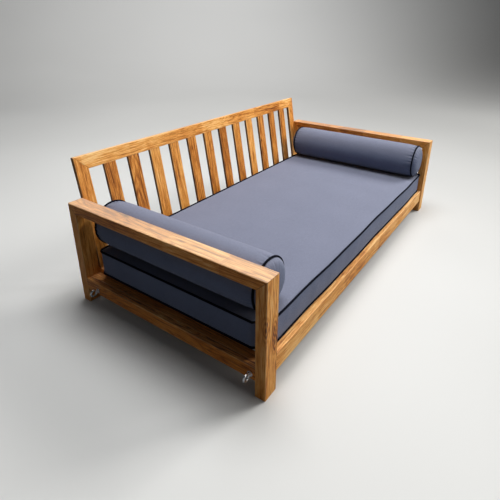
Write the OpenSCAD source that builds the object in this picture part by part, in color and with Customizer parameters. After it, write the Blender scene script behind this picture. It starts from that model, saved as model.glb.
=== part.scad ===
// Teak daybed: two mitred end frames, a slatted seat, a raked slatted back,
// a boxed mattress, two bolsters and four eye bolts on the end rails.

/* [Overall] */
// Length over the outer faces of the two end frames
frame_len = 2060; // [1900:10:2300]
// Depth from the front face of the front posts to the rear face of the rear posts
frame_depth = 1054; // [1030:2:1120]
// Height of the top of the arms
arm_h = 507; // [470:1:560]

/* [End frames] */
// Width of the posts and arms, along the length of the bed
member_w = 73; // [60:1:90]
// Thickness of the posts and arms in the plane of the end frame
member_t = 46; // [40:1:52]
// Height of the underside of all the lower rails above the floor
rail_bottom = 72; // [50:1:90]
// Height of the section of the lower end rails
end_rail_h = 59; // [50:1:65]
// Thickness of the outer board of each lower end rail
outer_board_t = 28; // [24:1:34]
// Size of the small chamfer on every long edge
chamfer = 2; // [1:0.5:4]

/* [Seat] */
// Distance of the front rail behind the front face of the posts
rail_setback = 8; // [4:1:10]
// Thickness of the front and rear seat rails
seat_rail_t = 38; // [32:1:40]
// Height of the section of the front and rear seat rails
seat_rail_h = 82; // [78:1:95]
// Number of seat slats
seat_slat_count = 12; // [12:1:12]
// Width of each seat slat
seat_slat_w = 95; // [60:1:110]
// Thickness of each seat slat
seat_slat_t = 22; // [18:1:24]
// Width and height of the cleats that carry the ends of the seat slats
cleat = 24; // [20:1:28]
// Width of the lengthwise bearer under the middle of the seat slats
bearer_w = 45; // [35:1:60]

/* [Back] */
// Angle of the back from the vertical
rake = 9.3; // [6:0.1:10]
// Length of the back frame along its slope
back_len = 540; // [480:5:600]
// Thickness of the rails and stiles of the back
back_t = 20; // [18:1:24]
// Face width of the rails and stiles of the back
back_rail_w = 65; // [55:1:75]
// Face width of each back slat
back_slat_w = 68; // [50:1:75]
// Thickness of each back slat
back_slat_t = 16; // [12:1:18]
// Distance of the row of back slats to the right of the middle
back_slat_shift = 8; // [0:1:20]
// Number of back slats
back_slat_count = 12; // [12:1:12]
// Distance of the foot of the back behind the front face of the posts
back_foot_y = 992.5; // [985:0.5:995]

/* [Cushions] */
// Thickness of the mattress
mattress_t = 124.7; // [100:0.1:150]
// Depth of the mattress, front to rear
mattress_d = 936; // [900:1:950]
// Distance of the front of the mattress behind the front face of the posts
mattress_front = 24; // [20:1:34]
// Radius of the rounded vertical corners of the mattress
mattress_corner_r = 26; // [15:1:40]
// Radius of each bolster over its piping
bolster_r = 106; // [90:1:110]
// Length of the left bolster
left_bolster_len = 866; // [800:1:890]
// Length of the right bolster
right_bolster_len = 894; // [800:1:900]
// Distance of the left bolster behind the front face of the posts
left_bolster_front = 86; // [50:1:90]
// Distance of the right bolster behind the front face of the posts
right_bolster_front = 52; // [50:1:90]
// Radius of the piping cord
piping_r = 3.5; // [2.5:0.5:5]
// Thickness of the fabric covers
cover_t = 2; // [1.5:0.5:3]

/* [Eye bolts] */
// Distance of the front pair of eye bolts behind the front face of the posts
eye_front_y = 67; // [64:1:120]
// Distance of the rear pair of eye bolts behind the front face of the posts
eye_rear_y = 928; // [900:1:990]
// Height of the eye bolts above the floor
eye_z = 95; // [92:1:96]
// Radius of the hole through each eye
eye_hole_r = 10; // [8:0.5:12]
// Diameter of the stock that the ring of each eye is made of
eye_stock = 8; // [7:0.5:9]
// Radius of the shank of each eye bolt
shank_r = 4; // [3:0.5:5]

/* [Hidden] */

$fn = 48;
left = -1;
right = 1;

// Inner and outer faces of the end frames, measured from the middle of the bed
outer_x = frame_len / 2;
inner_x = outer_x - member_w;
inner_len = 2 * inner_x;
board_x = outer_x - outer_board_t;

// Heights of the seat
end_rail_top = rail_bottom + end_rail_h;
seat_top = rail_bottom + seat_rail_h;
slat_bottom = seat_top - seat_slat_t;

// Depths of the seat
front_rail_rear = rail_setback + seat_rail_t;
rear_rail_front = back_foot_y - 0.5;
rear_rail_rear = rear_rail_front + seat_rail_t;

// The centre bearer fills the height under the slats
bearer_h = slat_bottom - rail_bottom;
bearer_mid_y = (front_rail_rear + rear_rail_front) / 2;
bearer_mid_z = end_rail_top - end_rail_h / 2;

// The back stands on the rear rail on its lower rear edge
back_foot_z = seat_top + back_t * sin(rake);
back_clear = 1;
back_w = inner_len - 2 * back_clear;
back_clear_w = back_w - 2 * back_rail_w;
back_slat_gap = (back_clear_w - back_slat_count * back_slat_w) / (back_slat_count + 1);
back_slat_len = back_len - 2 * back_rail_w;

// The whole depth runs to the top rear edge of the back
total_depth = back_foot_y + back_len * sin(rake) + back_t * cos(rake);

// The end seat slats lie against the end frames and the others share out the length between them
slat_seat_clear = 0.5;
seat_slat_gap = (inner_len - 2 * slat_seat_clear - seat_slat_count * seat_slat_w)
    / (seat_slat_count - 1);

// Cushions stand clear of the wood and of each other by a hair
soft_gap = 0.3;
cushion_side_gap = 0.6;
mattress_z = seat_top + soft_gap;
mattress_top = mattress_z + mattress_t;
mattress_half = inner_x - cushion_side_gap;
bolster_z = mattress_top + soft_gap + bolster_r;
bolster_x = inner_x - cushion_side_gap - bolster_r;
bolster_cover_r = bolster_r - 1;

// The piping stands a little proud of the cover and fills a step along its edges
cover_inset = 1.5;
piping_rebate = 2 * piping_r + 0.2;
bolster_end_r = bolster_r - piping_rebate;

// The rear rail stands half under the rear post, so its dowels sit near its rear face
rear_dowel_y = rear_rail_rear - 7;
front_dowel_y = rail_setback + seat_rail_t / 2;

// Dowels, the same everywhere
dowel_r = 5;
dowel_len = 44;
dowel_slack = 0.05;
mitre_dowel_spread = 18;
rail_dowel_spread = 18;
end_rail_dowel_spread = 18;
bearer_dowel_spread = 11;

// Eye bolts
washer_r = 12;
washer_t = 2;
collar_r = 10;
collar_t = 5;
eye_reach = 22;
eye_mid_r = eye_hole_r + eye_stock / 2;
eye_land = 4;
eye_section_r = sqrt(pow(eye_stock / 2, 2) + pow(eye_land / 2, 2));
nut_t = 6.5;
nut_r = 7.5;
bolt_hole_r = shank_r + 0.25;
washer_hole_r = shank_r + 0.3;
thread_slack = 0.05;
shank_end = 4;

// Countersunk screws of the seat slats
screw_r = 2.2;
screw_head_r = 4.4;
screw_head_h = 3;
screw_len = 38;
screw_spread = 26;
screw_inset = 11;
screw_slack = 0.1;

teak = "#b8773c";
teak_light = "#c98a4c";
fabric_blue = "#7a7f94";
piping_navy = "#171923";
foam = "#d9d4c0";
steel = "#c4c7ca";
beech = "#d8b98a";

// ---------- helpers ----------

// Moves from the front face of the posts to the middle of the whole depth
module placed() {
    translate([0, -total_depth / 2, 0]) children();
}

// Outline of a rectangle with chamfered corners, from the origin
module chamfered(w, d) {
    polygon([
        [chamfer, 0], [w - chamfer, 0], [w, chamfer], [w, d - chamfer],
        [w - chamfer, d], [chamfer, d], [0, d - chamfer], [0, chamfer]
    ]);
}

// A stick along X, Y or Z from a low corner, with its long edges chamfered
module stick_x(corner, size) {
    translate(corner) rotate([90, 0, 90]) linear_extrude(size[0]) chamfered(size[1], size[2]);
}

module stick_y(corner, size) {
    translate([corner[0], corner[1] + size[1], corner[2]])
        rotate([90, 0, 0]) linear_extrude(size[1]) chamfered(size[0], size[2]);
}

module stick_z(corner, size) {
    translate(corner) linear_extrude(size[2]) chamfered(size[0], size[1]);
}

// A flat outline in Y and Z, as thick as the end frame
module end_profile(side, points) {
    low_x = side == left ? -outer_x : inner_x;
    translate([low_x, 0, 0]) rotate([90, 0, 90]) linear_extrude(member_w) polygon(points);
}

// Low corner in X of a board that lies between two distances from the middle
function low_x(side, near, far) = side == left ? -far : near;

// ---------- dowels and holes ----------

module dowel(at, turn, slack = 0) {
    translate(at) rotate(turn)
        cylinder(r = dowel_r + slack, h = dowel_len + 2 * slack, center = true, $fn = 24);
}

// Two dowels across each mitre of an end frame
module mitre_dowels(side, slack = 0) {
    mid_x = side * (outer_x - member_w / 2);
    for (spread = [-1, 1]) {
        x = mid_x + spread * mitre_dowel_spread;
        dowel([x, member_t / 2, arm_h - member_t / 2], [-45, 0, 0], slack);
        dowel([x, frame_depth - member_t / 2, arm_h - member_t / 2], [45, 0, 0], slack);
    }
}

// Dowels from a front or rear seat rail into the posts
module seat_rail_dowels(mid_y, slack = 0) {
    for (side = [left, right], spread = [-1, 1])
        dowel([side * inner_x, mid_y, rail_bottom + seat_rail_h / 2 + spread * rail_dowel_spread],
              [0, 90, 0], slack);
}

// Dowels from both boards of a lower end rail into the posts
module end_rail_dowels(side, slack = 0) {
    board_mid = side * (outer_x - outer_board_t / 2);
    inner_mid = side * (board_x - 2 * dowel_r);
    for (x = [board_mid, inner_mid], y = [member_t, frame_depth - member_t], spread = [-1, 1])
        dowel([x, y, rail_bottom + end_rail_h / 2 + spread * end_rail_dowel_spread],
              [90, 0, 0], slack);
}

// Dowels from the centre bearer into the inner end rails
module bearer_dowels(slack = 0) {
    for (side = [left, right], spread = [-1, 1])
        dowel([side * inner_x, bearer_mid_y + spread * bearer_dowel_spread,
               bearer_mid_z], [0, 90, 0], slack);
}

// Dowels from the stiles of the back into the rear posts
module back_post_dowels(slack = 0) {
    back_frame() for (side = [-1, 1], up = [0.2, 0.4] * back_len)
        dowel([side * inner_x, back_t / 2, up], [0, 90, 0], slack);
}

// Dowels inside the back frame: its two mitres and the ends of its bottom rail
module back_corner_dowels(slack = 0) {
    half = back_w / 2;
    back_frame() for (side = [-1, 1]) {
        dowel([side * (half - back_rail_w / 2), back_t / 2, back_len - back_rail_w / 2],
              [0, -side * 45, 0], slack);
        for (spread = [-1, 1])
            dowel([side * (half - back_rail_w), back_t / 2,
                   back_rail_w / 2 + spread * rail_dowel_spread], [0, 90, 0], slack);
    }
}

module eye_bolt_holes(side) {
    for (y = [eye_front_y, eye_rear_y])
        translate([side * (inner_x + member_w / 2), y, eye_z]) rotate([0, 90, 0])
            cylinder(r = bolt_hole_r, h = member_w + 2, center = true, $fn = 24);
}

// ---------- end frames ----------

module front_post(side) {
    color(teak) placed() difference() {
        intersection() {
            end_profile(side, [[0, 0], [member_t, 0], [member_t, arm_h - member_t], [0, arm_h]]);
            stick_z([low_x(side, inner_x, outer_x), 0, 0], [member_w, member_t, arm_h]);
        }
        mitre_dowels(side, dowel_slack);
        end_rail_dowels(side, dowel_slack);
        seat_rail_dowels(front_dowel_y, dowel_slack);
    }
}

module rear_post(side) {
    near = frame_depth - member_t;
    color(teak) placed() difference() {
        intersection() {
            end_profile(side, [[near, 0], [frame_depth, 0], [frame_depth, arm_h],
                               [near, arm_h - member_t]]);
            stick_z([low_x(side, inner_x, outer_x), near, 0], [member_w, member_t, arm_h]);
        }
        mitre_dowels(side, dowel_slack);
        end_rail_dowels(side, dowel_slack);
        seat_rail_dowels(rear_dowel_y, dowel_slack);
        back_post_dowels(dowel_slack);
    }
}

module arm_rail(side) {
    low = arm_h - member_t;
    color(teak_light) placed() difference() {
        intersection() {
            end_profile(side, [[0, arm_h], [member_t, low], [frame_depth - member_t, low],
                               [frame_depth, arm_h]]);
            stick_y([low_x(side, inner_x, outer_x), 0, low], [member_w, frame_depth, member_t]);
        }
        mitre_dowels(side, dowel_slack);
    }
}

// Outer board of the lower end rail, which carries the eye bolts
module lower_rail(side) {
    color(teak) placed() difference() {
        stick_y([low_x(side, board_x, outer_x), member_t, rail_bottom],
                [outer_board_t, frame_depth - 2 * member_t, end_rail_h]);
        end_rail_dowels(side, dowel_slack);
        eye_bolt_holes(side);
    }
}

// Inner board beside it, which carries the centre bearer
module inner_rail(side) {
    color(teak_light) placed() difference() {
        stick_y([low_x(side, inner_x, board_x), member_t, rail_bottom],
                [board_x - inner_x, frame_depth - 2 * member_t, end_rail_h]);
        end_rail_dowels(side, dowel_slack);
        eye_bolt_holes(side);
        bearer_dowels(dowel_slack);
    }
}

// ---------- seat ----------

module seat_rail(front_y, dowel_y) {
    color(teak_light) placed() difference() {
        stick_x([-inner_x, front_y, rail_bottom], [inner_len, seat_rail_t, seat_rail_h]);
        seat_rail_dowels(dowel_y, dowel_slack);
    }
}

module centre_bearer() {
    color(teak) placed() difference() {
        stick_x([-inner_x, bearer_mid_y - bearer_w / 2, rail_bottom],
                [inner_len, bearer_w, bearer_h]);
        bearer_dowels(dowel_slack);
    }
}

module seat_cleat(front_y) {
    color(teak) placed() difference() {
        stick_x([-inner_x, front_y, slat_bottom - cleat], [inner_len, cleat, cleat]);
        slat_screws(screw_slack);
    }
}

function seat_slat_x(i) = -inner_x + slat_seat_clear + i * (seat_slat_w + seat_slat_gap);

module seat_slat(i) {
    color(teak_light) placed() difference() {
        stick_y([seat_slat_x(i), front_rail_rear + slat_seat_clear, slat_bottom],
                [seat_slat_w, rear_rail_front - front_rail_rear - 2 * slat_seat_clear, seat_slat_t]);
        slat_screws_of(i, screw_slack);
    }
}

// A countersunk wood screw, head up, its top level with z = 0
module slat_screw(slack = 0) {
    translate([0, 0, -screw_head_h])
        cylinder(r1 = screw_r + slack, r2 = screw_head_r + slack, h = screw_head_h, $fn = 24);
    translate([0, 0, -screw_len]) cylinder(r = screw_r + slack, h = screw_len, $fn = 24);
}

module slat_screws_of(i, slack = 0) {
    mid = seat_slat_x(i) + seat_slat_w / 2;
    for (spread = [-1, 1], y = [front_rail_rear + screw_inset, rear_rail_front - screw_inset])
        translate([mid + spread * screw_spread, y, seat_top]) slat_screw(slack);
}

module slat_screws(slack = 0) {
    for (i = [0 : seat_slat_count - 1]) slat_screws_of(i, slack);
}

// ---------- back ----------

// Frame of the raked back: X along the bed, Y through its thickness, Z up its slope
module back_frame() {
    translate([0, back_foot_y, back_foot_z]) rotate([-rake, 0, 0]) children();
}

// A flat outline in X and Z of the back frame, as thick as the back
module back_profile(points) {
    translate([0, back_t, 0]) rotate([90, 0, 0]) linear_extrude(back_t) polygon(points);
}

module back_top_rail() {
    half = back_w / 2;
    inside = half - back_rail_w;
    color(teak_light) placed() difference() {
        back_frame() intersection() {
            back_profile([[-half, back_len], [-inside, back_len - back_rail_w],
                          [inside, back_len - back_rail_w], [half, back_len]]);
            stick_x([-half, 0, back_len - back_rail_w], [back_w, back_t, back_rail_w]);
        }
        back_corner_dowels(dowel_slack);
    }
}

module back_bottom_rail() {
    inside = back_w / 2 - back_rail_w;
    color(teak_light) placed() difference() {
        back_frame() stick_x([-inside, 0, 0], [2 * inside, back_t, back_rail_w]);
        back_corner_dowels(dowel_slack);
    }
}

module back_stile(side) {
    half = back_w / 2;
    outer = side * half;
    inner = side * (half - back_rail_w);
    color(teak) placed() difference() {
        back_frame() intersection() {
            back_profile([[outer, 0], [inner, 0], [inner, back_len - back_rail_w],
                          [outer, back_len]]);
            stick_z([min(outer, inner), 0, 0], [back_rail_w, back_t, back_len]);
        }
        back_corner_dowels(dowel_slack);
        back_post_dowels(dowel_slack);
    }
}

module back_slat(i) {
    x = -back_clear_w / 2 + back_slat_shift + back_slat_gap + i * (back_slat_w + back_slat_gap);
    color(teak) placed() back_frame()
        stick_z([x, (back_t - back_slat_t) / 2, back_rail_w],
                [back_slat_w, back_slat_t, back_slat_len]);
}

// ---------- cushions ----------

// A plate with rounded vertical corners, centred in X, from y = 0
module rounded_plate(half_w, depth, corner, height) {
    linear_extrude(height) union() {
        translate([-half_w + corner, 0]) square([2 * (half_w - corner), depth]);
        translate([-half_w, corner]) square([2 * half_w, depth - 2 * corner]);
        for (x = [-half_w + corner, half_w - corner], y = [corner, depth - corner])
            translate([x, y]) circle(r = corner);
    }
}

// A block of the mattress, inset from its sides, and from its top and bottom
module mattress_body(side_inset, flat_inset) {
    translate([0, mattress_front + side_inset, mattress_z + flat_inset])
        rounded_plate(mattress_half - side_inset, mattress_d - 2 * side_inset,
                      mattress_corner_r - side_inset, mattress_t - 2 * flat_inset);
}

module mattress_core() {
    color(foam) placed() mattress_body(piping_rebate + cover_t, cover_t);
}

// The cover steps in along its top and bottom edges, where the piping is sewn on
module mattress_cover() {
    color(fabric_blue) placed() difference() {
        union() {
            mattress_body(piping_rebate, 0);
            mattress_body(cover_inset, piping_rebate);
        }
        mattress_body(piping_rebate + cover_t, cover_t);
    }
}

// One loop of piping cord around the mattress, at a given height
module piping_loop(z) {
    half = mattress_half - piping_r;
    low = mattress_front + piping_r;
    high = mattress_front + mattress_d - piping_r;
    corner = mattress_corner_r - piping_r;
    translate([0, 0, z]) {
        for (y = [low, high])
            translate([-half + corner, y, 0]) rotate([0, 90, 0])
                cylinder(r = piping_r, h = 2 * (half - corner), $fn = 24);
        for (x = [-half, half])
            translate([x, high - corner, 0]) rotate([90, 0, 0])
                cylinder(r = piping_r, h = high - low - 2 * corner, $fn = 24);
        for (turn = [0 : 90 : 270]) {
            x = turn == 0 || turn == 270 ? half - corner : -half + corner;
            y = turn < 180 ? high - corner : low + corner;
            translate([x, y, 0]) rotate([0, 0, turn]) rotate_extrude(angle = 90)
                translate([corner, 0]) circle(r = piping_r, $fn = 24);
        }
    }
}

module mattress_piping() {
    color(piping_navy) placed() {
        piping_loop(mattress_z + piping_r);
        piping_loop(mattress_top - piping_r);
    }
}

// Where a bolster starts behind the posts' front face, and how long it is
function bolster_front(side) = side == left ? left_bolster_front : right_bolster_front;
function bolster_len(side) = side == left ? left_bolster_len : right_bolster_len;

// A cylinder along Y for a bolster, inset from its full length at both ends
module bolster_roll(side, r, inset) {
    translate([side * bolster_x, bolster_front(side) + inset, bolster_z]) rotate([-90, 0, 0])
        cylinder(r = r, h = bolster_len(side) - 2 * inset, $fn = 96);
}

module bolster_core(side) {
    color(foam) placed() bolster_roll(side, bolster_end_r - cover_t, cover_t);
}

// The cover steps in at both ends, where the piping is sewn on
module bolster_cover(side) {
    color(fabric_blue) placed() difference() {
        union() {
            bolster_roll(side, bolster_end_r, 0);
            bolster_roll(side, bolster_cover_r, piping_rebate);
        }
        bolster_roll(side, bolster_end_r - cover_t, cover_t);
    }
}

module bolster_piping(side) {
    front = bolster_front(side);
    color(piping_navy) placed()
        for (y = [front + piping_r, front + bolster_len(side) - piping_r])
            translate([side * bolster_x, y, bolster_z]) rotate([90, 0, 0])
                rotate_extrude($fn = 96)
                    translate([bolster_r - piping_r, 0]) circle(r = piping_r, $fn = 24);
}

// ---------- eye bolts ----------

// One eye bolt along X, its ring upright, its collar against the outer washer
module eye_bolt(side, y) {
    face = washer_t;
    color(steel) placed() translate([side * outer_x, y, eye_z]) rotate([0, side * 90, 0]) {
        difference() {
            union() {
                translate([0, 0, face + eye_reach]) rotate([90, 0, 0])
                    rotate_extrude($fn = 64) translate([eye_mid_r, 0])
                        circle(r = eye_section_r, $fn = 32);
                translate([0, 0, face]) cylinder(r = collar_r, h = collar_t);
                translate([0, 0, face + collar_t])
                    cylinder(r1 = collar_r * 0.7, r2 = eye_section_r, h = eye_reach - collar_t
                             - eye_mid_r);
                translate([0, 0, -member_w - washer_t - nut_t - shank_end])
                    cylinder(r = shank_r, h = member_w + washer_t + nut_t + shank_end + face
                             + collar_t, $fn = 32);
            }
            translate([0, 0, face + eye_reach]) rotate([90, 0, 0])
                cylinder(r = eye_hole_r, h = 4 * eye_stock, center = true, $fn = 64);
        }
    }
}

module on_each_eye_bolt() {
    for (side = [left, right], y = [eye_front_y, eye_rear_y])
        translate([side * outer_x, y, eye_z]) rotate([0, side * 90, 0]) children();
}

module eye_bolt_washers() {
    color(steel) placed() on_each_eye_bolt()
        for (z = [0, -member_w - washer_t])
            translate([0, 0, z]) difference() {
                cylinder(r = washer_r, h = washer_t);
                translate([0, 0, -1]) cylinder(r = washer_hole_r, h = washer_t + 2, $fn = 32);
            }
}

module eye_bolt_nuts() {
    color(steel) placed() on_each_eye_bolt()
        translate([0, 0, -member_w - washer_t - nut_t]) difference() {
            cylinder(r = nut_r, h = nut_t, $fn = 6);
            translate([0, 0, -1])
                cylinder(r = shank_r + thread_slack, h = nut_t + 2, $fn = 32);
        }
}

// ---------- fastenings in groups ----------

module joint_dowels() {
    color(beech) placed() {
        for (side = [left, right]) {
            mitre_dowels(side);
            end_rail_dowels(side);
        }
        seat_rail_dowels(front_dowel_y);
        seat_rail_dowels(rear_dowel_y);
        bearer_dowels();
        back_post_dowels();
        back_corner_dowels();
    }
}

module seat_slat_screws() {
    color(steel) placed() slat_screws();
}

// ---------- the parts ----------

front_post(left);  // left_front_post
rear_post(left);  // left_rear_post
arm_rail(left);  // left_arm_rail
lower_rail(left);  // left_lower_rail
inner_rail(left);  // left_inner_rail
front_post(right);  // right_front_post
rear_post(right);  // right_rear_post
arm_rail(right);  // right_arm_rail
lower_rail(right);  // right_lower_rail
inner_rail(right);  // right_inner_rail
seat_rail(rail_setback, front_dowel_y);  // seat_front_rail
seat_rail(rear_rail_front, rear_dowel_y);  // seat_rear_rail
centre_bearer();  // seat_centre_bearer
seat_cleat(front_rail_rear);  // seat_front_cleat
seat_cleat(rear_rail_front - cleat);  // seat_rear_cleat
seat_slat(0);  // seat_slat_1
seat_slat(1);  // seat_slat_2
seat_slat(2);  // seat_slat_3
seat_slat(3);  // seat_slat_4
seat_slat(4);  // seat_slat_5
seat_slat(5);  // seat_slat_6
seat_slat(6);  // seat_slat_7
seat_slat(7);  // seat_slat_8
seat_slat(8);  // seat_slat_9
seat_slat(9);  // seat_slat_10
seat_slat(10);  // seat_slat_11
seat_slat(11);  // seat_slat_12
back_top_rail();
back_bottom_rail();
back_stile(left);  // back_left_stile
back_stile(right);  // back_right_stile
back_slat(0);  // back_slat_1
back_slat(1);  // back_slat_2
back_slat(2);  // back_slat_3
back_slat(3);  // back_slat_4
back_slat(4);  // back_slat_5
back_slat(5);  // back_slat_6
back_slat(6);  // back_slat_7
back_slat(7);  // back_slat_8
back_slat(8);  // back_slat_9
back_slat(9);  // back_slat_10
back_slat(10);  // back_slat_11
back_slat(11);  // back_slat_12
mattress_core();
mattress_cover();
mattress_piping();
bolster_core(left);  // left_bolster_core
bolster_cover(left);  // left_bolster_cover
bolster_piping(left);  // left_bolster_piping
bolster_core(right);  // right_bolster_core
bolster_cover(right);  // right_bolster_cover
bolster_piping(right);  // right_bolster_piping
eye_bolt(left, eye_front_y);  // left_front_eye_bolt
eye_bolt(left, eye_rear_y);  // left_rear_eye_bolt
eye_bolt(right, eye_front_y);  // right_front_eye_bolt
eye_bolt(right, eye_rear_y);  // right_rear_eye_bolt
eye_bolt_washers();
eye_bolt_nuts();
joint_dowels();
seat_slat_screws();
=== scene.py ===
"""Looks of the teak daybed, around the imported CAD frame: wood, steel, cushions, studio, camera."""

import math
from random import Random

import bpy
import numpy as np
from mathutils import Matrix, Vector, noise


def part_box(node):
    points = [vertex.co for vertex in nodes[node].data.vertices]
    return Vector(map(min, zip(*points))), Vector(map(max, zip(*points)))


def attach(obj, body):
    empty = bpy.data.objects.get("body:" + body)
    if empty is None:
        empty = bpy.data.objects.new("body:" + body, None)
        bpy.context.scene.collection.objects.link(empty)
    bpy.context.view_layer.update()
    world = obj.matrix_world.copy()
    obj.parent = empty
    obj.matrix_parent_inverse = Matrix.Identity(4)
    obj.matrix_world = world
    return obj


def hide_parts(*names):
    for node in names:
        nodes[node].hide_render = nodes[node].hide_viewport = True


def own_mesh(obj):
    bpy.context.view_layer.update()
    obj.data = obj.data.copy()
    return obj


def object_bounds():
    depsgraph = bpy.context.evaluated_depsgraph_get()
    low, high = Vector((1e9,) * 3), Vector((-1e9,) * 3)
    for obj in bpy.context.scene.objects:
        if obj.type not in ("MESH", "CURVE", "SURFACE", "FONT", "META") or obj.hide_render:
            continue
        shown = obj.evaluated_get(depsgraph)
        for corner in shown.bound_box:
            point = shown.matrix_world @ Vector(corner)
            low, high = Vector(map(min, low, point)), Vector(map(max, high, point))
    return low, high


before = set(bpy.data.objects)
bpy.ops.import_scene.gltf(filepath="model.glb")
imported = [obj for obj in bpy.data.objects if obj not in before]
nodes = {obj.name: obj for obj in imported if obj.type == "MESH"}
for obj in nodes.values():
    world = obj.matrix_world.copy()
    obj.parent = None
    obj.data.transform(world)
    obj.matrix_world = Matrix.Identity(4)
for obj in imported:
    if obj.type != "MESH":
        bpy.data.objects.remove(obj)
cad_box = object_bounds()

MM = 0.001
BACK_RAKE = math.radians(9.3)
# how strongly painted shade darkens the narrow sides of the back's stiles and slats
BACK_SIDE_SHADE = 0.6
SLATS = 12
PIPING_R = 4.6 * MM


# ---------- shader helpers ----------

class Shader:
    """Short names for building one material's node tree."""

    def __init__(self, name):
        self.material = bpy.data.materials.new(name)
        self.material.use_nodes = True
        self.tree = self.material.node_tree
        self.surface = self.tree.nodes["Principled BSDF"]
        self.place = self.add("ShaderNodeTexCoord").outputs["Object"]

    def add(self, kind, **settings):
        node = self.tree.nodes.new(kind)
        for key, value in settings.items():
            setattr(node, key, value)
        return node

    def plug(self, value, socket):
        if isinstance(value, bpy.types.NodeSocket):
            self.tree.links.new(value, socket)
        else:
            socket.default_value = value

    def math(self, operation, *values, clamp=False):
        node = self.add("ShaderNodeMath", operation=operation, use_clamp=clamp)
        for value, socket in zip(values, node.inputs):
            self.plug(value, socket)
        return node.outputs[0]

    def vector_math(self, operation, *values, output="Vector"):
        node = self.add("ShaderNodeVectorMath", operation=operation)
        for value, socket in zip(values, node.inputs):
            self.plug(value, socket)
        return node.outputs[output]

    def mapping(self, vector, location=(0, 0, 0), rotation=(0, 0, 0), scale=(1, 1, 1)):
        node = self.add("ShaderNodeMapping")
        self.plug(vector, node.inputs["Vector"])
        node.inputs["Location"].default_value = location
        node.inputs["Rotation"].default_value = rotation
        node.inputs["Scale"].default_value = scale
        return node.outputs[0]

    def noise(self, vector, scale, detail=2.0, roughness=0.5, distortion=0.0):
        node = self.add("ShaderNodeTexNoise")
        self.plug(self.mapping(vector, scale=scale), node.inputs["Vector"])
        node.inputs["Scale"].default_value = 1.0
        node.inputs["Detail"].default_value = detail
        node.inputs["Roughness"].default_value = roughness
        node.inputs["Distortion"].default_value = distortion
        return node.outputs["Fac"]

    def split(self, vector):
        node = self.add("ShaderNodeSeparateXYZ")
        self.plug(vector, node.inputs[0])
        return node.outputs

    def fade(self, value, low, high, to_low=0.0, to_high=1.0):
        node = self.add("ShaderNodeMapRange", interpolation_type="SMOOTHSTEP")
        for item, socket in zip((value, low, high, to_low, to_high), node.inputs):
            self.plug(item, socket)
        return node.outputs[0]

    def ramp(self, factor, stops):
        node = self.add("ShaderNodeValToRGB")
        self.plug(factor, node.inputs[0])
        elements = node.color_ramp.elements
        while len(elements) < len(stops):
            elements.new(0.5)
        for element, (position, colour) in zip(elements, stops):
            element.position = position
            element.color = (*colour, 1)
        return node.outputs[0]

    def mix(self, factor, a, b, blend="MIX"):
        node = self.add("ShaderNodeMix", data_type="RGBA", blend_type=blend)
        self.plug(factor, node.inputs["Factor"])
        for value, socket in ((a, node.inputs[6]), (b, node.inputs[7])):
            self.plug(value if isinstance(value, bpy.types.NodeSocket) else (*value, 1), socket)
        return node.outputs[2]

    def bump(self, height, distance, strength=1.0):
        node = self.add("ShaderNodeBump")
        node.inputs["Strength"].default_value = strength
        node.inputs["Distance"].default_value = distance
        self.plug(height, node.inputs["Height"])
        self.plug(node.outputs[0], self.surface.inputs["Normal"])

    def set(self, **values):
        for name, value in values.items():
            self.plug(value, self.surface.inputs[name.replace("_", " ")])


# ---------- wood ----------

TEAK = [
    (0.00, (0.045, 0.009, 0.0015)),
    (0.22, (0.205, 0.053, 0.007)),
    (0.48, (0.530, 0.180, 0.025)),
    (0.74, (0.800, 0.365, 0.080)),
    (1.00, (0.950, 0.610, 0.250)),
]
# painted sheen that pales the upper faces
PAINTED_SHEEN = (0.68, 0.60, 0.49)
# eased arrises worn lighter, with a painted highlight along them
WORN_HIGHLIGHT = (0.80, 0.53, 0.28)
# painted shade, deeper and redder, for faces towards either end of the bed
PAINTED_RED_SHADE = (0.60, 0.17, 0.008)
# painted shade, near black, for the narrow sides of the back's stiles and slats
PAINTED_SIDE_SHADE = (0.02, 0.006, 0.002)
GLUE = (0.06, 0.02, 0.007)
# how strongly faces towards either end of the bed get a redder painted shade, where no near-black painted
# shade is asked for
PAINTED_SHADE_SHARE = 0.3
TURN = {"X": (0, 0, 0), "Y": (0, 0, -math.pi / 2), "Z": (0, math.pi / 2, 0)}


def joint_lines(s, planes):
    """1 on a thin line where a glue joint's plane (a normal and a point on it) meets the surface."""
    lines = 0.0
    for normal, point in planes:
        n = Vector(normal).normalized()
        away = s.vector_math("DOT_PRODUCT", s.place, tuple(n), output="Value")
        away = s.math("ABSOLUTE", s.math("SUBTRACT", away, n.dot(Vector(point))))
        lines = s.math("MAXIMUM", lines, s.fade(away, 0.0005, 0.0017, 1.0, 0.0))
    return lines


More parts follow.
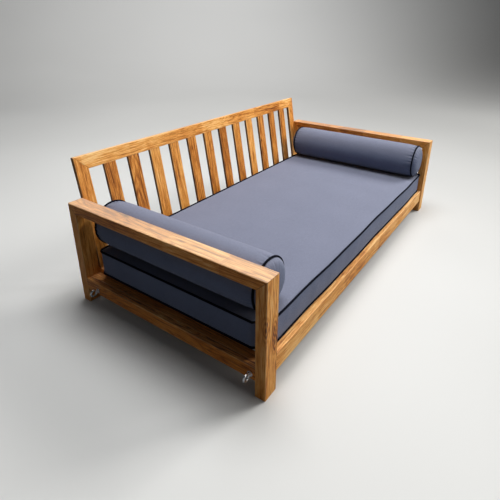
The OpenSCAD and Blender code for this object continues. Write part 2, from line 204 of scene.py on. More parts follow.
def teak(name, along, seed, tone=0.0, tilt=0.0, blocks=0.0, knots=0.35, planes=(),
         figure=1.0, marks=(), painted_sheen=0.08, edge=0.0):
    """Teak whose grain runs along X, Y or Z, after undoing a tilt about X.

    blocks is how much its staves differ, figure how strong the grain is, marks where knots show,
    painted_sheen how far a painted sheen pales its upper face, edge how far painted shade darkens its
    narrow sides.
    """
    s = Shader(name)
    random = Random(seed)
    shift = tuple(random.uniform(-9, 9) for _ in range(3))
    upright = s.mapping(s.place, rotation=(tilt, 0, 0))
    grain = s.mapping(upright, rotation=TURN[along], location=shift)

    # growth rings cut lengthwise: thin dark contour lines of a stretched noise
    swell = s.noise(grain, (1.1, 9, 9), detail=2.5, distortion=0.7)
    ring = s.math("MULTIPLY_ADD", s.math("SINE", s.math("MULTIPLY", swell, 120.0)), 0.5, 0.5)
    ring = s.math("POWER", ring, 2.6)
    ring_strength = s.fade(s.noise(grain, (1.6, 7, 7)), 0.36, 0.62, 0.04, 0.20)
    fibre = s.noise(grain, (14, 240, 240), detail=4.0, roughness=0.7)
    streak = s.noise(grain, (4.5, 100, 100), detail=3.0, roughness=0.7, distortion=0.25)
    veins = s.noise(grain, (5, 170, 170), detail=3.0, roughness=0.6, distortion=0.2)
    veins = s.fade(veins, 0.54, 0.66)
    broad = s.noise(grain, (1.3, 6, 6), detail=1.0)
    pores = s.fade(s.noise(grain, (26, 800, 800), detail=1.0), 0.60, 0.72)

    # staves glued end to end, each with its own tone
    stave = s.split(grain)[0]
    first = s.math("FLOOR", s.math("MULTIPLY", stave, 2.3))
    second = s.math("FLOOR", s.math("MULTIPLY", stave, 3.7))
    cell = s.add("ShaderNodeCombineXYZ")
    s.plug(first, cell.inputs[0])
    s.plug(second, cell.inputs[1])
    white = s.add("ShaderNodeTexWhiteNoise", noise_dimensions="3D")
    s.plug(cell.outputs[0], white.inputs["Vector"])
    stave_tone = s.math("MULTIPLY", s.math("SUBTRACT", white.outputs["Value"], 0.5), blocks)

    # small knots with the grain flowing round them
    voronoi = s.add("ShaderNodeTexVoronoi")
    s.plug(s.mapping(grain, scale=(5, 19, 19)), voronoi.inputs["Vector"])
    voronoi.inputs["Scale"].default_value = 1.0
    picked = s.math("GREATER_THAN", s.split(voronoi.outputs["Color"])[0], 1.0 - knots * 0.4)
    knot = s.math("MULTIPLY", s.fade(voronoi.outputs["Distance"], 0.05, 0.17, 1.0, 0.0), picked)

    # dark curls round the knots that show on this piece
    curls = 0.0
    for mark in marks:
        near = s.vector_math("SUBTRACT", s.place, mark)
        near = s.vector_math("MULTIPLY", near, (1, 1, 0.36))
        wobble = s.math("MULTIPLY", s.math("SUBTRACT", streak, 0.5), 0.006)
        away = s.math("ADD", s.vector_math("LENGTH", near, output="Value"), wobble)
        line = s.math("MULTIPLY_ADD", s.math("SINE", s.math("MULTIPLY", away, 760.0)), 0.5, 0.5)
        line = s.math("MULTIPLY", line, s.fade(away, 0.006, 0.030, 0.34, 0.0))
        curls = s.math("ADD", curls, s.math("ADD", line, s.fade(away, 0.001, 0.0045, 0.5, 0.0)))

    value = s.math("MULTIPLY_ADD", s.math("MULTIPLY", ring, ring_strength), -figure, 0.62 + tone)
    value = s.math("MULTIPLY_ADD", s.math("SUBTRACT", fibre, 0.5), 1.15 * figure, value)
    value = s.math("MULTIPLY_ADD", s.math("SUBTRACT", streak, 0.5), 0.70 * figure, value)
    value = s.math("MULTIPLY_ADD", veins, -0.18 * figure, value)
    value = s.math("SUBTRACT", value, curls)
    value = s.math("MULTIPLY_ADD", s.math("SUBTRACT", broad, 0.5), 0.45, value)
    value = s.math("ADD", value, stave_tone)
    value = s.math("MULTIPLY_ADD", pores, -0.16, value)
    value = s.math("MULTIPLY_ADD", knot, -0.42, value, clamp=True)
    colour = s.ramp(value, TEAK)

    # painted sheen pales the upper faces, end-facing sides get a redder or a near-black painted shade, and
    # eased arrises are worn lighter with a painted highlight
    normal = s.add("ShaderNodeNewGeometry").outputs["True Normal"]
    painted_top_light = s.fade(s.split(normal)[2], 0.6, 0.95, 0.0, painted_sheen)
    colour = s.mix(painted_top_light, colour, PAINTED_SHEEN)
    facing = s.split(s.vector_math("ABSOLUTE", s.mapping(normal, rotation=(tilt, 0, 0))))
    sideways = s.fade(facing[0], 0.90, 0.97, 0.0, edge or PAINTED_SHADE_SHARE)
    colour = s.mix(sideways, colour, PAINTED_SIDE_SHADE if edge else PAINTED_RED_SHADE)
    flat = s.math("MAXIMUM", s.math("MAXIMUM", facing[0], facing[1]), facing[2])
    worn_highlight = s.math("MULTIPLY", s.fade(flat, 0.80, 0.93, 1.0, 0.0), s.fade(broad, 0.3, 0.7, 0.25, 0.8))
    colour = s.mix(worn_highlight, colour, WORN_HIGHLIGHT)
    if planes:
        colour = s.mix(s.math("MULTIPLY", joint_lines(s, planes), 0.5), colour, GLUE)

    s.set(Base_Color=colour, Roughness=s.fade(value, 0.2, 0.9, 0.38, 0.50))
    s.surface.inputs["Specular IOR Level"].default_value = 0.28
    height = s.math("MULTIPLY_ADD", pores, -0.8, s.math("MULTIPLY", fibre, 0.5))
    s.bump(height, 0.0004, 0.5)
    return s.material


def beech():
    s = Shader("beech")
    grain = s.noise(s.place, (160, 160, 160), detail=3.0)
    colour = s.ramp(grain, [(0.3, (0.50, 0.34, 0.19)), (0.7, (0.70, 0.52, 0.33))])
    s.set(Base_Color=colour, Roughness=0.6)
    s.bump(grain, 0.0003)
    return s.material


def paint(node, material):
    """Gives a CAD node one material."""
    mesh = nodes[node].data
    mesh.materials.clear()
    mesh.materials.append(material)


def paint_ends():
    """The two end frames: posts, mitred arms and lower boards."""
    arm_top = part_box("left_arm_rail")[1].z
    front_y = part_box("left_front_post")[0].y
    rear_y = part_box("left_rear_post")[1].y
    front_mitre = ((0, 1, 1), (0, front_y, arm_top))
    rear_mitre = ((0, -1, 1), (0, rear_y, arm_top))
    # knots on the left front post: one on its outer front arris, two further in on its front face
    post_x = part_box("left_front_post")[0].x
    marks = [(post_x, front_y + 2 * MM, 0.318), (post_x + 0.052, front_y, 0.295),
             (post_x + 0.056, front_y, 0.232)]
    for side, seed in (("left", 10), ("right", 40)):
        left = side == "left"
        front_post = teak(f"{side}_front_post_teak", "Z", seed + 4, 0.18, knots=1.0, figure=1.3,
                          planes=[front_mitre], marks=marks if left else ())
        rear_post = teak(f"{side}_rear_post_teak", "Z", seed + 1, 0.07, planes=[rear_mitre])
        # the left arm is painted lighter with more painted sheen, and the right arm darker, as painted
        # light and shade on the two arms
        arm = teak(f"{side}_arm_teak", "Y", seed + 2, 0.05 if left else -0.06, blocks=0.26,
                   figure=1.25, painted_sheen=0.38 if left else 0.22, planes=[front_mitre, rear_mitre])
        lower = teak(f"{side}_lower_rail_teak", "Y", seed + 3, 0.0, blocks=0.2, figure=1.3)
        inner = teak(f"{side}_inner_rail_teak", "Y", seed + 5, -0.04, blocks=0.2)
        paint(f"{side}_front_post", front_post)
        paint(f"{side}_rear_post", rear_post)
        paint(f"{side}_arm_rail", arm)
        paint(f"{side}_lower_rail", lower)
        paint(f"{side}_inner_rail", inner)


def paint_seat():
    paint("seat_front_rail", teak("front_rail_teak", "X", 71, 0.18, blocks=0.22, figure=1.3))
    paint("seat_rear_rail", teak("rear_rail_teak", "X", 72, 0.0, blocks=0.22))
    paint("seat_centre_bearer", teak("bearer_teak", "X", 73, -0.05))
    for name, seed in (("seat_front_cleat", 74), ("seat_rear_cleat", 75)):
        paint(name, teak(f"{name}_teak", "X", seed, -0.05))


def paint_back():
    high = cad_box[1]
    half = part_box("back_top_rail")[1].x
    slope_top = Vector((0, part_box("back_top_rail")[1].y, high.z))
    mitres = []
    for side in (-1, 1):
        corner = slope_top + Vector((side * half, 0, 0))
        across = Vector((side, -math.sin(BACK_RAKE), -math.cos(BACK_RAKE)))
        mitres.append((tuple(across), tuple(corner)))
    top = teak("back_top_rail_teak", "X", 81, 0.12, BACK_RAKE, blocks=0.2, planes=mitres, figure=1.2)
    bottom = teak("back_bottom_rail_teak", "X", 82, -0.02, BACK_RAKE, blocks=0.2)
    left = teak("back_left_stile_teak", "Z", 83, 0.04, BACK_RAKE, planes=mitres[:1], edge=BACK_SIDE_SHADE)
    right = teak("back_right_stile_teak", "Z", 84, 0.04, BACK_RAKE, planes=mitres[1:], edge=BACK_SIDE_SHADE)
    paint("back_top_rail", top)
    paint("back_bottom_rail", bottom)
    paint("back_left_stile", left)
    paint("back_right_stile", right)


def paint_slats():
    random = Random(5)
    for i in range(1, SLATS + 1):
        tone = random.uniform(-0.09, 0.09)
        back = teak(f"back_slat_{i}_teak", "Z", 100 + i, tone - 0.06, BACK_RAKE, figure=1.1,
                    edge=BACK_SIDE_SHADE)
        seat = teak(f"seat_slat_{i}_teak", "Y", 130 + i, tone - 0.02)
        paint(f"back_slat_{i}", back)
        paint(f"seat_slat_{i}", seat)


# ---------- metal ----------

def steel():
    s = Shader("polished_steel")
    smear = s.noise(s.place, (60, 60, 60), detail=3.0)
    scratches = s.noise(s.place, (900, 900, 120), detail=2.0)
    s.set(Base_Color=s.ramp(smear, [(0.3, (0.78, 0.79, 0.80)), (0.7, (0.93, 0.94, 0.95))]),
          Roughness=s.fade(smear, 0.3, 0.7, 0.20, 0.34), Metallic=1.0)
    s.bump(scratches, 0.0001, 0.3)
    return s.material


# ---------- fabric ----------

# how the cloth's colour is multiplied on its sides and lower faces: painted shade, darker and bluer
PAINTED_CLOTH_SHADE = (0.72, 0.81, 0.93)


def woven(name, colour, pitch, depth, sheen, gloss, contrast):
    """Plain-woven cloth: pitch is its thread spacing, depth how far the threads stand up."""
    s = Shader(name)
    turns = 2 * math.pi / pitch
    scaled = s.add("ShaderNodeVectorMath", operation="SCALE")
    s.plug(s.place, scaled.inputs[0])
    scaled.inputs["Scale"].default_value = turns
    x, y, z = s.split(scaled.outputs[0])
    pairs = ((x, y), (y, z), (z, x))
    waves = [s.math("MULTIPLY", s.math("SINE", a), s.math("COSINE", b)) for a, b in pairs]
    threads = s.math("ADD", s.math("ADD", waves[0], waves[1]), waves[2])
    fleck = s.noise(s.place, (700, 700, 700), detail=2.0, roughness=0.7)
    cloud = s.noise(s.place, (5, 5, 5), detail=3.0)
    slub = s.noise(s.place, (130, 130, 130), detail=2.0, roughness=0.6)
    shade = s.math("MULTIPLY_ADD", threads, 0.05, 0.5)
    shade = s.math("MULTIPLY_ADD", s.math("SUBTRACT", slub, 0.5), 0.9, shade)
    shade = s.math("MULTIPLY_ADD", s.math("SUBTRACT", fleck, 0.5), 0.9, shade)
    shade = s.math("MULTIPLY_ADD", s.math("SUBTRACT", cloud, 0.5), 0.5, shade, clamp=True)
    dark = tuple(c * (1 - contrast) for c in colour)
    light = tuple(c * (1 + contrast) for c in colour)
    cloth = s.ramp(shade, [(0.0, dark), (1.0, light)])
    # painted shade: the sides and lower faces are darker and bluer than the upper faces
    painted_top_light = s.fade(s.split(s.add("ShaderNodeNewGeometry").outputs["Normal"])[2], -0.1, 0.75)
    cloth = s.mix(painted_top_light, s.mix(1.0, cloth, PAINTED_CLOTH_SHADE, "MULTIPLY"), cloth)
    s.set(Base_Color=cloth, Roughness=s.fade(shade, 0, 1, 0.92, 0.78))
    s.surface.inputs["Sheen Weight"].default_value = sheen
    s.surface.inputs["Sheen Roughness"].default_value = 0.45
    s.surface.inputs["Specular IOR Level"].default_value = gloss
    s.bump(s.math("MULTIPLY_ADD", fleck, 0.5, s.math("MULTIPLY", threads, 0.3)), depth, 0.7)
    return s.material


# ---------- mesh helpers ----------

def mesh_object(name, points, faces, material):
    mesh = bpy.data.meshes.new(name)
    mesh.from_pydata([tuple(p) for p in points], [], faces)
    mesh.materials.append(material)
    mesh.polygons.foreach_set("use_smooth", [True] * len(mesh.polygons))
    mesh.update()
    piece = bpy.data.objects.new(name, mesh)
    bpy.context.scene.collection.objects.link(piece)
    return piece


def tube(loops, radius, sides=12):
    """Points and faces of closed round cords that follow closed loops of points."""
    points, faces = [], []
    for loop in loops:
        path = np.array(loop, float)
        ahead = np.roll(path, -1, 0) - np.roll(path, 1, 0)
        ahead /= np.linalg.norm(ahead, axis=1)[:, None]
        plane = np.linalg.svd(path - path.mean(0))[2][2]
        outward = np.cross(ahead, plane)
        outward /= np.linalg.norm(outward, axis=1)[:, None]
        up = np.cross(outward, ahead)
        start = len(points)
        for at, out, rise in zip(path, outward, up):
            for k in range(sides):
                turn = 2 * math.pi * k / sides
                points.append(at + radius * (math.cos(turn) * out + math.sin(turn) * rise))
        rows = len(path)
        for i in range(rows):
            for k in range(sides):
                a, b = start + i * sides, start + (i + 1) % rows * sides
                faces.append((a + k, a + (k + 1) % sides, b + (k + 1) % sides, b + k))
    return points, faces


def inflate(piece, pinned, pressure, cap, grow=0.0, frames=20):
    """Cloth simulation of a sewn cover, held at its seams, with each point's movement capped."""
    rest = np.array([v.co for v in piece.data.vertices])
    held = piece.vertex_groups.new(name="held")
    held.add([int(i) for i in np.flatnonzero(pinned)], 1.0, "REPLACE")
    cloth = piece.modifiers.new("cloth", "CLOTH")
    settings = cloth.settings
    settings.quality = 5
    settings.mass = 0.3
    settings.tension_stiffness = 12
    settings.compression_stiffness = 8
    settings.bending_stiffness = 0.6
    settings.vertex_group_mass = "held"
    settings.shrink_min = -grow
    settings.use_pressure = True
    settings.uniform_pressure_force = pressure
    settings.effector_weights.gravity = 0
    cloth.collision_settings.use_collision = False
    cloth.point_cache.frame_start = 1
    cloth.point_cache.frame_end = frames
    for f in range(1, frames + 1):
        bpy.context.scene.frame_set(f)
    shaped = piece.evaluated_get(bpy.context.evaluated_depsgraph_get())
    moved = np.array([v.co for v in shaped.data.vertices]) - rest
    piece.modifiers.remove(cloth)
    piece.vertex_groups.clear()
    bpy.context.scene.frame_set(1)
    length = np.maximum(np.linalg.norm(moved, axis=1), 1e-9)
    limit = np.broadcast_to(cap, length.shape)
    eased = limit * np.tanh(length / np.maximum(limit, 1e-9))
    place(piece, rest + moved * (eased / length)[:, None])


def place(piece, points):
    piece.data.vertices.foreach_set("co", np.asarray(points, float).ravel())
    piece.data.update()


def points_of(piece):
    return np.array([v.co for v in piece.data.vertices])


def step(value):
    """A smooth step from 0 to 1."""
    t = np.clip(value, 0, 1)
    return t * t * (3 - 2 * t)


def smooth_noise(points, size, seed):
    """Soft noise from -1 to 1 at each point, with features of about the given size."""
    offset = Vector((seed * 7.3, seed * 3.1, seed * 5.7))
    return np.array([noise.noise(Vector(p) / size + offset) for p in points])


def subdivide(piece):
    modifier = piece.modifiers.new("subdivide", "SUBSURF")
    modifier.levels = modifier.render_levels = 1
    shaped = piece.evaluated_get(bpy.context.evaluated_depsgraph_get())
    finer = bpy.data.meshes.new_from_object(shaped)
    piece.modifiers.remove(modifier)
    piece.data = finer


# ---------- mattress ----------

MATTRESS_CORNER = 26 * MM
GRID = 14 * MM
LAYERS = 9
# how far its ends swell out over the inner boards, and where along X and Y that builds up
END_SWELL = 27.5 * MM
SWELL_FROM_X = 0.8
SWELL_RUN_X = 0.156
SWELL_RUN_Y = 28 * MM
# the most that the simulation may move the top panel and the boxing, and the share of it that is kept
TOP_CAP = 9 * MM
SIDE_CAP = 6 * MM
KEPT = 0.3
# height of the top panel's crown, its hollows and its gathers
CROWN = 2.4 * MM
HOLLOW = 1.3 * MM
GATHER = 1.1 * MM
# depth of the boxing's bulge, its ripples and its drag lines, and the most at either end
BULGE = 0.8 * MM
RIPPLE = 2.6 * MM
DRAG = 2.4 * MM
END_DEPTH = 2.4 * MM


def make_mattress(fabric, piping_fabric):
    low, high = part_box("mattress_piping")
    half = (high.x - low.x) / 2 - PIPING_R
    front, rear = low.y + PIPING_R, high.y - PIPING_R
    bottom, top = low.z + PIPING_R, high.z - PIPING_R
    columns, rows, layers = round(2 * half / GRID), round((rear - front) / GRID), LAYERS
    corner = MATTRESS_CORNER
    post_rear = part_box("left_front_post")[1].y
    spacing = (rear - front) / rows
    first_row = math.ceil((post_rear + 5 * MM - front) / spacing)
    first_free = front + spacing * first_row

    def on_plan(i, j):
        """A point of the panel, with square corners drawn in to round ones."""
        x = -half + 2 * half * i / columns
        y = front + (rear - front) * j / rows
        middle = (front + rear) / 2
        dx = max(abs(x) - (half - corner), 0)
        dy = max(abs(y - middle) - ((rear - front) / 2 - corner), 0)
        if dx > 0 and dy > 0:
            draw = max(dx, dy) / math.hypot(dx, dy)
            x = math.copysign(half - corner + dx * draw, x)
            y = middle + math.copysign((rear - front) / 2 - corner + dy * draw, y - middle)
        # behind the front posts its ends swell out over the inner boards
        swell = END_SWELL * step((y - first_free) / SWELL_RUN_Y)
        swell *= step((abs(x) - SWELL_FROM_X) / SWELL_RUN_X)
        # the mattress lies a little askew on its ledge, and its front edge wanders
        forward = 1 - j / rows
        wander = 0.0016 * math.sin(7.1 * x + 0.6) + 0.0009 * math.sin(17 * x)
        slack = 0.004 - 0.007 * x / half + wander
        y += forward * slack
        if j == first_row and i in (0, columns):
            y = post_rear + 2 * MM
        return x + math.copysign(swell, x), y

    edge = ([(i, 0) for i in range(columns)] + [(columns, j) for j in range(rows)]
            + [(i, rows) for i in range(columns, 0, -1)] + [(0, j) for j in range(rows, 0, -1)])
    points, faces, index = [], [], {}
    for level, z in ((0, bottom), (layers, top)):
        for i in range(columns + 1):
            for j in range(rows + 1):
                index[level, i, j] = len(points)
                points.append((*on_plan(i, j), z))
    for level in range(1, layers):
        for i, j in edge:
            index[level, i, j] = len(points)
            points.append((*on_plan(i, j), bottom + (top - bottom) * level / layers))
    for i in range(columns):
        for j in range(rows):
            square = ((i, j), (i + 1, j), (i + 1, j + 1), (i, j + 1))
            faces.append([index[layers, a, b] for a, b in square])
            faces.append([index[0, a, b] for a, b in reversed(square)])
    for level in range(layers):
        for (a, b), (c, d) in zip(edge, edge[1:] + edge[:1]):
            faces.append([index[level, a, b], index[level, c, d],
                          index[level + 1, c, d], index[level + 1, a, b]])
    cushion = mesh_object("mattress_cushion", points, faces, fabric)

    seams = np.zeros(len(points), bool)
    for level in (0, layers):
        for i, j in edge:
            seams[index[level, i, j]] = True
    rest = points_of(cushion)
    on_bottom = rest[:, 2] < bottom + 0.1 * MM
    on_top = rest[:, 2] > top - 0.1 * MM
    cap = np.where(on_top, TOP_CAP, SIDE_CAP)
    inflate(cushion, seams | on_bottom, 2.5, cap)

    # the top panel: gentle hollows, small gathers beside the piping, flat under each bolster
    now = points_of(cushion)
    inset_x = half + END_SWELL - np.abs(rest[:, 0])
    inset_y = np.minimum(rest[:, 1] - front, rear - rest[:, 1])
    inset = np.minimum(inset_x, inset_y)
    free = step(inset / (45 * MM))
    puffed = np.clip(now[:, 2] - top, 0, TOP_CAP)
    crown = (CROWN + CROWN * step(inset / 0.35)) * free + KEPT * puffed
    crown += HOLLOW * smooth_noise(rest, 0.22, 1) * step(inset / 0.12)
    along = np.where(inset_x < inset_y, rest[:, 1], rest[:, 0])
    gathers = np.array([noise.noise(Vector((a * 26, 0, s)))
                        for a, s in zip(along, inset_x < inset_y)])
    near = np.exp(-inset / (26 * MM)) * step(inset / (9 * MM))
    crown += GATHER * gathers * near
    bolster_x = abs(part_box("left_bolster_cover")[0].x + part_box("left_bolster_cover")[1].x) / 2 + TUCK
    loaded = np.exp(-((np.abs(rest[:, 0]) - bolster_x) / (95 * MM)) ** 4)
    crown = crown * (1 - loaded) + np.minimum(crown, CROWN) * loaded
    now[on_top, 2] = top + crown[on_top]

    # the boxing bulges between its two seams, with shallow drag lines
    on_side = ~(on_top | on_bottom)
    height = (rest[:, 2] - bottom) / (top - bottom)
    belly = np.sin(math.pi * np.clip(height, 0, 1))
    reach = half + END_SWELL * step((rest[:, 1] - first_free) / SWELL_RUN_Y) - corner
    heart = np.stack([np.clip(rest[:, 0], -reach, reach),
                      np.clip(rest[:, 1], front + corner, rear - corner)], 1)
    outward = rest[:, :2] - heart
    outward /= np.maximum(np.linalg.norm(outward, axis=1), 1e-9)[:, None]
    ripple = smooth_noise(rest * [1, 1, 1.6], 0.16, 3)
    drag = smooth_noise(rest * [1, 1, 0.5], 0.045, 8)
    pushed = np.clip(np.sum((now[:, :2] - rest[:, :2]) * outward, axis=1), 0, SIDE_CAP)
    depth = (BULGE + RIPPLE * ripple + DRAG * drag) * belly + KEPT * pushed
    at_end = np.abs(outward[:, 0]) > 0.7
    depth = np.where(at_end, np.minimum(depth, END_DEPTH), depth)
    now[on_side, :2] = rest[on_side, :2] + outward[on_side] * depth[on_side, None]
    beside_post = on_side & at_end & (rest[:, 1] < post_rear + 6 * MM)
    now[beside_post, 0] = np.clip(now[beside_post, 0], low.x + 0.4 * MM, high.x - 0.4 * MM)
    place(cushion, now)
    loops = [[now[index[level, i, j]] for i, j in edge] for level in (0, layers)]
    subdivide(cushion)

    piping = mesh_object("mattress_piping_cords", *tube(loops, PIPING_R), piping_fabric)
    for piece in (cushion, piping):
        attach(piece, "mattress")
        # lifted out, the soft ends are squeezed to pass between the arms
        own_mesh(piece)
    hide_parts("mattress_cover", "mattress_core")
    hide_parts("mattress_piping")


# ---------- bolsters ----------

BOLSTER_R = 110 * MM
AROUND = 144
END_RINGS = 12
# how much further out than its CAD solids the bolster lies, tucked under the arm
TUCK = 30 * MM
# rows of the tube close to each sewn end, where the puckers are, and the spacing of the others
NEAR_SEAM = (0, 3, 6.5, 10.5, 15, 20, 26, 33)
NEAR_SEAM_END = 40
ROW_SPACING = 11
# how far from its seams the tube takes to swell out, and how far its small puckers run
SWELL_RUN = 55 * MM
PUCKER_RUN = 19 * MM
# depth of the sharp folds on the tube and on the end panels, and height of the end panels' dome
TUBE_FOLD = 8 * MM
END_FOLD = 5 * MM
DOME = 31 * MM
# how far the arm's lower edge presses in, and how the crease opens: this much at this angle
ARM_PRESS = 0.6 * MM
CREASE_RISE = 9 * MM
CREASE_ANGLE = math.radians(9)


def bolster_rows(length):
    """Distances along the tube, close together beside its two seams."""
    evenly = length - 2 * NEAR_SEAM_END * MM
    spans = round(evenly / (ROW_SPACING * MM))
    rows = [d * MM for d in NEAR_SEAM]
    rows += [NEAR_SEAM_END * MM + evenly * j / spans for j in range(spans + 1)]
    rows += [length - d * MM for d in reversed(NEAR_SEAM)]
    return rows


def bolster_mesh(name, centre, ends, seam_r, fabric):
    """A closed tube with flat ends.

    It comes with the part that each point is on (-1 front end, 0 tube, 1 rear end), and with the
    number of the first point of each of its two seams.
    """
    front, rear = ends
    points, faces, part = [], [], []

    def ring(y, r, which):
        start = len(points)
        for k in range(AROUND):
            turn = 2 * math.pi * k / AROUND
            points.append((centre[0] + r * math.cos(turn), y, centre[1] + r * math.sin(turn)))
            part.append(which)
        return start

    along = bolster_rows(rear - front)
    starts = [ring(front, seam_r * (i + 1) / END_RINGS, -1) for i in range(END_RINGS - 1)]
    seams = [len(starts), len(starts) + len(along) - 1]
    starts += [ring(front + d, seam_r, 0) for d in along]
    starts += [ring(rear, seam_r * i / END_RINGS, 1) for i in range(END_RINGS - 1, 0, -1)]
    for a, b in zip(starts, starts[1:]):
        for k in range(AROUND):
            n = (k + 1) % AROUND
            faces.append((a + k, b + k, b + n, a + n))
    # the small ring in the middle of each end is closed by strips that run straight across it
    for k in range(AROUND // 2):
        strip = (k, k + 1, AROUND - 1 - k, (AROUND - k) % AROUND)
        strip = list(dict.fromkeys(strip))
        faces.append([starts[0] + i for i in strip])
        faces.append([starts[-1] + i for i in reversed(strip)])
    cushion = mesh_object(name, points, faces, fabric)
    return cushion, np.array(part), [starts[i] for i in seams]


def seam_folds(turn, from_seam, at_front, seed):
    """Sharp puckers that cross each seam: 0 on smooth cloth, up to about 1 in a fold."""
    folds = np.zeros(len(turn))
    random = Random(seed)
    for here in (at_front, ~at_front):
        angle = 0.0
        while angle < 2 * math.pi:
            strength, run = random.uniform(0.3, 1.0), random.uniform(12, 40) * MM
            apart = np.abs((turn - angle + math.pi) % (2 * math.pi) - math.pi)
            fold = strength * np.exp(-(apart / math.radians(2.5)) ** 2 - (from_seam / run) ** 2)
            folds += np.where(here, fold, 0)
            angle += math.radians(random.uniform(8, 17))
    return folds


def make_bolster(side, fabric, piping_fabric):
    low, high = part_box(f"{side}_bolster_piping")
    sign = -1 if side == "left" else 1
    middle_x, middle_z = (low.x + high.x) / 2 + sign * TUCK, (low.z + high.z) / 2
    middle = [middle_x, middle_z]
    seed = 11 if side == "left" else 23
    front, rear = low.y + PIPING_R, high.y - PIPING_R
    seam_r = (high.z - low.z) / 2 - PIPING_R
    name = f"{side}_bolster_cushion"
    cushion, part, seams = bolster_mesh(name, middle, (front, rear), seam_r, fabric)

    rest = points_of(cushion)
    body = part == 0
    from_front, from_rear = rest[:, 1] - front, rear - rest[:, 1]
    at_seam = body & ((np.abs(from_front) < 1e-6) | (np.abs(from_rear) < 1e-6))
    inflate(cushion, at_seam, 3.0, 5 * MM, grow=0.01)

    now = points_of(cushion)
    off = now[:, [0, 2]] - middle
    radius = np.maximum(np.linalg.norm(off, axis=1), 1e-6)
    turn = np.arctan2(off[:, 1], off[:, 0])
    away = np.minimum(from_front, from_rear)
    share = np.clip(np.linalg.norm(rest[:, [0, 2]] - middle, axis=1) / seam_r, 0, 1)
    lobes = np.array([noise.noise(Vector((math.cos(t) * 6.5, math.sin(t) * 6.5, seed + 9.0 * (y > 0))))
                      for t, y in zip(turn, rest[:, 1])])
    from_seam = np.where(body, away, (1 - share) * seam_r)
    folds = seam_folds(turn, from_seam, rest[:, 1] < (front + rear) / 2, seed)

    # the tube swells away from its sewn ends, with short puckers beside the piping
    swell = (BOLSTER_R - seam_r) * step(away / SWELL_RUN)
    pucker = 1.6 * MM * lobes * np.exp(-away / PUCKER_RUN) - TUBE_FOLD * folds
    pucker *= step(away / (4 * MM))
    waves = 0.9 * MM * smooth_noise(rest, 0.13, seed)
    swell = 0.5 * (swell + np.clip(radius - seam_r, -1 * MM, BOLSTER_R - seam_r))
    grown = seam_r + swell + pucker + waves * step(away / 0.05)
    # the lower edge of the arm presses a shallow crease into it
    arm_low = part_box(f"{side}_arm_rail")[0]
    edge_x = min(abs(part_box(f"{side}_arm_rail")[i].x) for i in (0, 1))
    to_edge = math.atan2(arm_low.z - middle_z, edge_x - abs(middle_x))
    edge_away = math.hypot(arm_low.z - middle_z, edge_x - abs(middle_x))
    from_edge = np.arctan2(off[:, 1], sign * off[:, 0]) - to_edge
    crease = edge_away - ARM_PRESS + CREASE_RISE * (np.abs(from_edge) / CREASE_ANGLE) ** 1.5
    grown = np.minimum(grown, crease)
    target = np.where(body & ~at_seam, grown, radius)
    now[:, 0] = middle_x + off[:, 0] / radius * target
    now[:, 2] = middle_z + off[:, 1] / radius * target
    # the end panels are domed, with faint gathers running in from the piping
    dome = DOME * np.sqrt(1 - share ** 2.8)
    dome += (0.9 * MM * lobes * share ** 3 - END_FOLD * folds) * step((1 - share) * 12)
    now[:, 1] = np.where(body, rest[:, 1], rest[:, 1] + part * dome)
    # where an end comes up against a post, it is pressed flat
    beside = np.abs(now[:, 0]) > abs(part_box(f"{side}_inner_rail")[0 if sign > 0 else 1].x) - 4 * MM
    post_y = (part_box(f"{side}_front_post")[1].y + 0.5 * MM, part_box(f"{side}_rear_post")[0].y - 0.5 * MM)
    now[:, 1] = np.where(beside, np.clip(now[:, 1], *post_y), now[:, 1])
    # it rests on the mattress, where it is flattened and spreads a little
    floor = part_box("mattress_piping")[1].z + 0.2 * MM
    sunk = np.maximum(floor - now[:, 2], 0)
    spread = np.exp(-np.abs(now[:, 2] - floor) / (16 * MM)) * 1.4 * MM
    now[:, 2] = np.maximum(now[:, 2], floor + 0.02 * np.minimum(sunk, 1 * MM))
    now[:, 0] += np.sign(now[:, 0] - middle_x) * spread * body
    place(cushion, now)
    loops = [[now[start + k] for k in range(AROUND)] for start in seams]
    # the piping sits just outside the seam
    loops = [[(p[0] + 0.6 * MM * (p[0] - middle_x) / seam_r, p[1],
               p[2] + 0.6 * MM * (p[2] - middle_z) / seam_r) for p in loop] for loop in loops]
    subdivide(cushion)

    piping = mesh_object(f"{side}_bolster_piping_cords", *tube(loops, PIPING_R), piping_fabric)
    for piece in (cushion, piping):
        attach(piece, f"{side}_bolster")
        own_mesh(piece)
    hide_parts(f"{side}_bolster_cover", f"{side}_bolster_core")
    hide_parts(f"{side}_bolster_piping")


# ---------- studio ----------

# what the paper gives back to the object, kept low as black flags would in a studio
FLOOR_BOUNCE = (0.20, 0.205, 0.215)
# painted pools of light and shade on the paper: centre, reach and strength
PAINTED_GLOWS = [((8.0, 7.3, 2.8), 5.2, 0.50), ((5.2, 3.6, 0.4), 3.6, 0.19)]
PAINTED_SHADES = [((7.9, -1.0, 0.7), 2.2, 0.55), ((0.0, 2.6, 0.0), 2.6, 0.06)]
# the floor's flat radius, the radius of the curve up to the wall, and the wall's height
FLOOR_R = 5.6
SWEEP = 5.4
WALL = 6.5
SWEEP_STEPS = 16
BELOW_FEET = 0.2 * MM


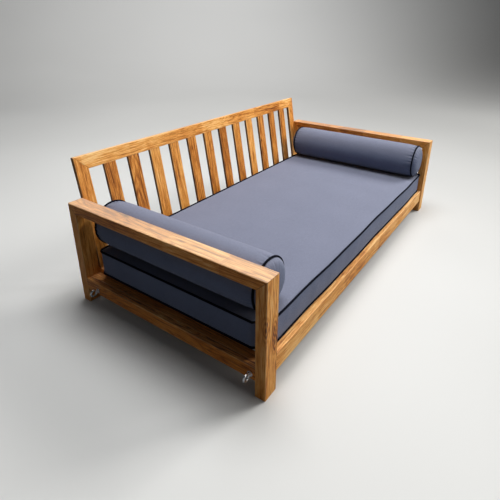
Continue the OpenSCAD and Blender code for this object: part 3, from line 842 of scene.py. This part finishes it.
def make_stage():
    """A pale floor that sweeps up into a round wall far from the object.

    The painted pools of light and shade are fixed in the room and show from any viewpoint, but they
    don't light the object: to every ray that isn't the camera's, the paper is the one flat tone
    FLOOR_BOUNCE.
    """
    s = Shader("studio_paper")
    pale = s.ramp(s.noise(s.place, (0.6, 0.6, 0.6), detail=1.0),
                  [(0.3, (0.64, 0.645, 0.635)), (0.7, (0.68, 0.685, 0.675))])
    # painted shade: the paper darkens towards the right-hand wall
    across = s.vector_math("DOT_PRODUCT", s.place, (0.90, -0.44, 0), output="Value")
    pale = s.mix(s.fade(across, -1.5, 3.8, 0.0, 0.55), pale, (0, 0, 0))

    def pool(centre, reach, strength):
        away = s.vector_math("DISTANCE", s.place, centre, output="Value")
        near = s.math("MULTIPLY", s.math("POWER", away, 2.0), -1 / reach ** 2)
        return s.math("MULTIPLY", s.math("POWER", 2.718, near), strength)

    # painted light: glows as from lamps out of sight, and painted shade in two places that their light
    # misses
    painted_glow = s.math("ADD", pool(*PAINTED_GLOWS[0]), pool(*PAINTED_GLOWS[1]))
    lit = s.math("SUBTRACT", s.math("SUBTRACT", 1.0, pool(*PAINTED_SHADES[0])), pool(*PAINTED_SHADES[1]))
    pale = s.mix(lit, (0, 0, 0), pale)
    seen = s.add("ShaderNodeLightPath").outputs["Is Camera Ray"]
    s.set(Base_Color=s.mix(seen, FLOOR_BOUNCE, pale), Roughness=0.9)
    s.surface.inputs["Specular IOR Level"].default_value = 0.1
    s.set(Emission_Color=(1, 1, 0.985, 1))
    strength = s.math("MULTIPLY", s.math("MULTIPLY", painted_glow, lit), seen)
    s.plug(strength, s.surface.inputs["Emission Strength"])
    profile = [(0.0, 0.0), (3.0, 0.0), (FLOOR_R, 0.0)]
    for k in range(1, SWEEP_STEPS + 1):
        a = math.pi / 2 * k / SWEEP_STEPS
        profile.append((FLOOR_R + SWEEP * math.sin(a), SWEEP - SWEEP * math.cos(a)))
    profile.append((FLOOR_R + SWEEP, WALL))
    around = 96
    points, faces = [], []
    for r, z in profile:
        for k in range(around):
            turn = 2 * math.pi * k / around
            points.append((r * math.cos(turn), r * math.sin(turn), z - BELOW_FEET))
    for i in range(len(profile) - 1):
        for k in range(around):
            a, b, n = i * around, (i + 1) * around, (k + 1) % around
            faces.append((a + k, b + k, b + n, a + n))
    mesh_object("studio_floor", points, faces, s.material)


def area_light(name, at, aim, size, power, colour=(1, 1, 1)):
    data = bpy.data.lights.new(name, "AREA")
    data.shape = "RECTANGLE"
    data.size, data.size_y = size
    data.energy = power
    data.color = colour
    light = bpy.data.objects.new(name, data)
    light.location = at
    light.rotation_euler = (Vector(at) - Vector(aim)).to_track_quat("Z", "Y").to_euler()
    bpy.context.scene.collection.objects.link(light)


def make_lights():
    area_light("key", (4.4, -2.9, 4.6), (0.3, 0, 0.2), (2.4, 2.4), 438, (1.0, 0.98, 0.95))
    area_light("overhead", (0.3, 0.25, 4.8), (0.1, 0, 0), (2.4, 2.2), 202)
    area_light("rim", (5.6, 4.0, 4.8), (0, 0, 0.3), (3.0, 2.4), 60, (1.0, 0.98, 0.95))
    area_light("front_fill", (0.4, -4.6, 1.5), (0.2, 0, 0.3), (2.5, 1.6), 46, (1.0, 0.98, 0.96))
    area_light("left_fill", (-4.6, -0.6, 1.1), (-1.0, 0, 0.3), (2.0, 1.2), 3, (1.0, 0.94, 0.88))
    world = bpy.data.worlds.new("studio_air")
    world.use_nodes = True
    world.node_tree.nodes["Background"].inputs["Color"].default_value = (0.80, 0.89, 1.0, 1)
    world.node_tree.nodes["Background"].inputs["Strength"].default_value = 0.045
    bpy.context.scene.world = world
    bpy.context.scene.view_settings.view_transform = "Standard"


# the viewpoint, and its turn from straight ahead, its downward tilt and its lean in degrees
CAMERA_AT = (-1.9624, -1.1441, 1.2708)
CAMERA_TURNS = (55.846, 22.905, 0.634)
LENS = 30.39
SHIFT = (-0.0169, -0.1093)


def make_camera():
    """The viewpoint: in front of the left end, looking down and along the bed."""
    yaw, pitch, roll = (math.radians(a) for a in CAMERA_TURNS)
    level = math.cos(pitch)
    forward = Vector((math.sin(yaw) * level, math.cos(yaw) * level, -math.sin(pitch)))
    right = forward.cross(Vector((0, 0, 1))).normalized()
    up = right.cross(forward)
    turned_right = right * math.cos(roll) + up * math.sin(roll)
    turned_up = up * math.cos(roll) - right * math.sin(roll)
    data = bpy.data.cameras.new("camera")
    data.lens = LENS
    data.shift_x, data.shift_y = SHIFT
    camera = bpy.data.objects.new("camera", data)
    rotation = Matrix((turned_right, turned_up, -forward)).transposed()
    camera.matrix_world = Matrix.Translation(CAMERA_AT) @ rotation.to_4x4()
    bpy.context.scene.collection.objects.link(camera)
    bpy.context.scene.camera = camera


make_camera()
make_lights()
make_stage()
paint_ends()
paint_seat()
paint_back()
paint_slats()
paint("joint_dowels", beech())
metal = steel()
for name in nodes:
    if name.endswith("eye_bolt") or name in ("eye_bolt_washers", "eye_bolt_nuts", "seat_slat_screws"):
        paint(name, metal)
        nodes[name].data.polygons.foreach_set("use_smooth", [True] * len(nodes[name].data.polygons))
slate = woven("slate_blue_weave", (0.162, 0.176, 0.243), 2.6 * MM, 0.0005, 0.14, 0.20, 0.15)
navy = woven("navy_weave", (0.004, 0.005, 0.010), 1.6 * MM, 0.0003, 0.0, 0.06, 0.25)
make_mattress(slate, navy)
for side in ("left", "right"):
    make_bolster(side, slate, navy)
